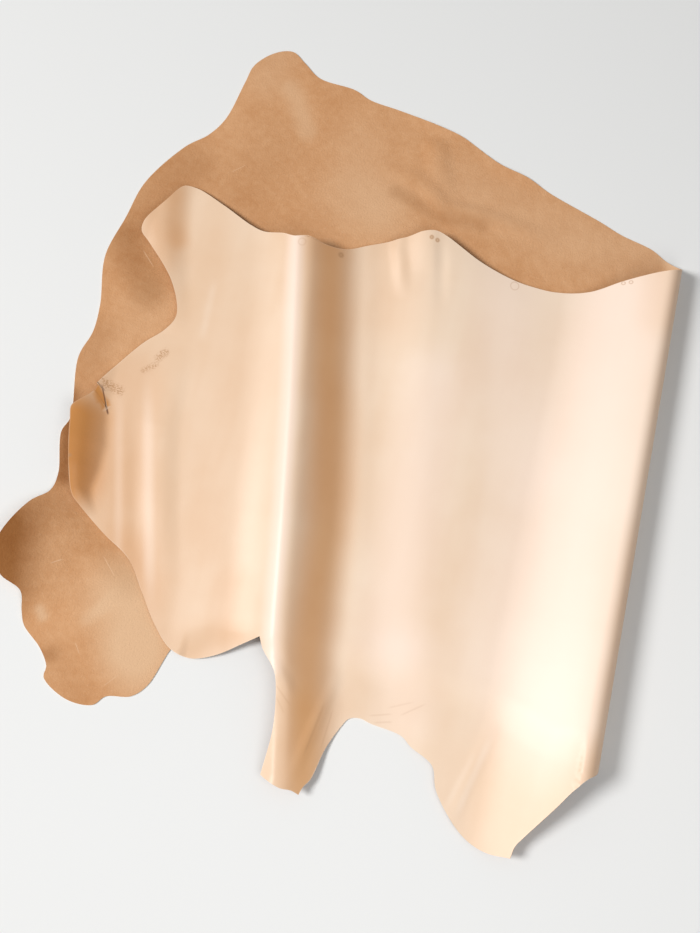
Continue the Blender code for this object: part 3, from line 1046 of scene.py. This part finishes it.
# painted highlight along the cut edge, broken into patches
edge_highlight = grain.noise(sheet_at, **EDGE_HIGHLIGHT_PATCHES).rises(*EDGE_STEP) * grain.tone("edge")
colour = grain.mix(edge_highlight * EDGE_SHARE, colour, GRAIN_EDGE_HIGHLIGHT)
pores = grain.noise(sheet_at, **PORES)
pebble = grain.node("ShaderNodeTexVoronoi", None, {"Vector": sheet_at, "Scale": PEBBLE_SCALE})
grain.use(colour, pores * 0.5 + pebble * 0.5, PORE_DEPTH)
print("The grain side's material has", len(grain.nodes), "nodes")

# %% [markdown]
# ## The flesh side
#
# The other side was split and brushed. It is darker, quite dull, and covered with short fibres
# that catch the light. Real hairs would be far too many. Three noises of different sizes stand
# for its clouds, its mottling and its nap, and the nap also roughens it.

# %% The flesh side's finish
FLESH_TAN = (0.57, 0.275, 0.118, 1.0)
FLESH_PALE = (0.70, 0.39, 0.20, 1.0)
FLESH_FIBRE = (0.78, 0.52, 0.33, 1.0)
# browner stains, and painted shade at the raised tip and beside the curled rim
FLESH_BROWNED_AND_SHADED = (0.48, 0.36, 0.22, 1.0)
FLESH_BLOOMED = (0.73, 0.465, 0.275, 1.0)
FLESH_SCRATCHES = (
    # strength, half width in metres, ends on the opened sheet
    ("scratch", 0.6, 0.0016, (-1.058, -0.286), (-1.080, -0.300)),
    ("scratch", 0.5, 0.0014, (-0.955, -0.300), (-0.990, -0.262)),
    ("scratch", 0.5, 0.0014, (-1.000, -0.430), (-0.985, -0.452)),
    ("scratch", 0.4, 0.0014, (-0.905, -0.470), (-0.930, -0.500)),
    ("scratch", 0.5, 0.0016, (-1.030, 0.305), (-1.062, 0.338)),
    ("scratch", 0.4, 0.0014, (-0.930, 0.530), (-0.900, 0.555)),
)

FLESH_CLOUDS = {"scale": 7.0, "detail": 7.0, "roughness": 0.68}
CLOUD_STEP = (0.3, 0.72)
CLOUD_SHARE = 0.6
FLESH_MOTTLES = {"scale": 55.0, "detail": 5.0, "roughness": 0.7}
MOTTLE_STEP = (0.3, 0.7)
MOTTLE_SHARE = 0.4
FLESH_NAP = {"scale": 260.0, "detail": 4.0, "roughness": 0.7}
FIBRE_STEP = (0.55, 0.75)
FIBRE_SHARE = 0.4
NAP_DEPTH = 0.0014

flesh = Finish("flesh side", roughness=0.95, specular=0.2)
flesh_at = flesh.node("ShaderNodeUVMap", {"uv_map": "opened"})
cloudy = flesh.noise(flesh_at, **FLESH_CLOUDS).rises(*CLOUD_STEP)
mottled = flesh.noise(flesh_at, **FLESH_MOTTLES).rises(*MOTTLE_STEP)
nap = flesh.noise(flesh_at, **FLESH_NAP)
uneven = (cloudy * CLOUD_SHARE + mottled * MOTTLE_SHARE).clamped()
rough_tan = flesh.mix(uneven, FLESH_TAN, FLESH_PALE)
rough_tan = flesh.mix(flesh.tone("bloomed_and_highlit"), rough_tan, FLESH_BLOOMED)
rough_tan = flesh.mix(nap.rises(*FIBRE_STEP) * FIBRE_SHARE, rough_tan, FLESH_FIBRE)
# browner stains, and painted shade at the raised tip and beside the curled rim
rough_tan = flesh.mix(flesh.tone("browned_and_shaded"), rough_tan, FLESH_BROWNED_AND_SHADED, "MULTIPLY")
for _name, strength, half_width, start, end in FLESH_SCRATCHES:
    scratch = flesh.line(flesh_at, start, end, half_width) * strength
    rough_tan = flesh.mix(scratch, rough_tan, FLESH_FIBRE)
flesh.use(rough_tan, nap, NAP_DEPTH)
print("The flesh side's material has", len(flesh.nodes), "nodes")

# %% [markdown]
# ## The cut edge
#
# The bare edge shows the hide's fibres from their side, in tans between those of the two faces.
# It is only two millimetres high, so one fine noise between two tans does for it.

# %% The cut edge's finish
CUT_DARK = (0.62, 0.43, 0.26, 1.0)
CUT_PALE = (0.80, 0.63, 0.44, 1.0)
CUT_FIBRES = {"scale": 500.0, "detail": 3.0, "roughness": 0.6}
CUT_DEPTH = 0.0003

cut = Finish("cut edge", roughness=0.85)
cut_at = cut.node("ShaderNodeTexCoord", None, (), "Object")
fibre = cut.noise(cut_at, **CUT_FIBRES)
cut.use(cut.mix(fibre, CUT_DARK, CUT_PALE), fibre, CUT_DEPTH)
for finish in (grain, flesh, cut):
    mesh.materials.append(finish.material)
print("The leather has", [material.name for material in mesh.materials])

# %% [markdown]
# ## The thickness
#
# A hide of this kind is a good two millimetres thick. A Solidify modifier adds that downwards,
# so that the grain side stays where it was folded, and gives the new side and the cut edge
# their own finishes. Only bends of more than fifty degrees stay hard edges in the shading.

# %% The thickness
HARD_EDGE_ANGLE = math.radians(50)
bpy.ops.object.select_all(action="DESELECT")
leather.select_set(True)
bpy.context.view_layer.objects.active = leather
thickness = leather.modifiers.new("hide thickness", "SOLIDIFY")
thickness.thickness = HIDE_THICK * MM
thickness.offset = -1.0
thickness.use_even_offset = True
thickness.material_offset = 1
thickness.material_offset_rim = 2
bpy.ops.object.modifier_apply(modifier=thickness.name)
bpy.ops.object.shade_smooth_by_angle(angle=HARD_EDGE_ANGLE)
triangles = sum(len(face.vertices) - 2 for face in mesh.polygons)
print("The finished sheet has", triangles, "triangles")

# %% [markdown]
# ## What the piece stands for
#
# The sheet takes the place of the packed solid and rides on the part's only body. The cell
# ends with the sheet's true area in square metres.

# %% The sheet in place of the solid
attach(leather, "root")
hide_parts("leather_side")
cut_area * MM * MM

# %% [markdown]
# ## The floor
#
# A plain pale floor catches the soft shadow at the roll and under the edges. It only sets the
# stage and stays out of the part.

# %% The floor
FLOOR_COLOUR = (0.80, 0.80, 0.79, 1.0)
FLOOR_WIDTH = 16.0
bpy.ops.object.select_all(action="DESELECT")
bpy.ops.mesh.primitive_plane_add(size=FLOOR_WIDTH, location=(0.0, 0.0, 0.0))
floor = bpy.context.object
floor.name = "floor"
pale = Finish("pale floor", roughness=0.9)
pale.use(FLOOR_COLOUR)
floor.data.materials.append(pale.material)
print("The floor is", floor.dimensions.x, "m wide")

# %% [markdown]
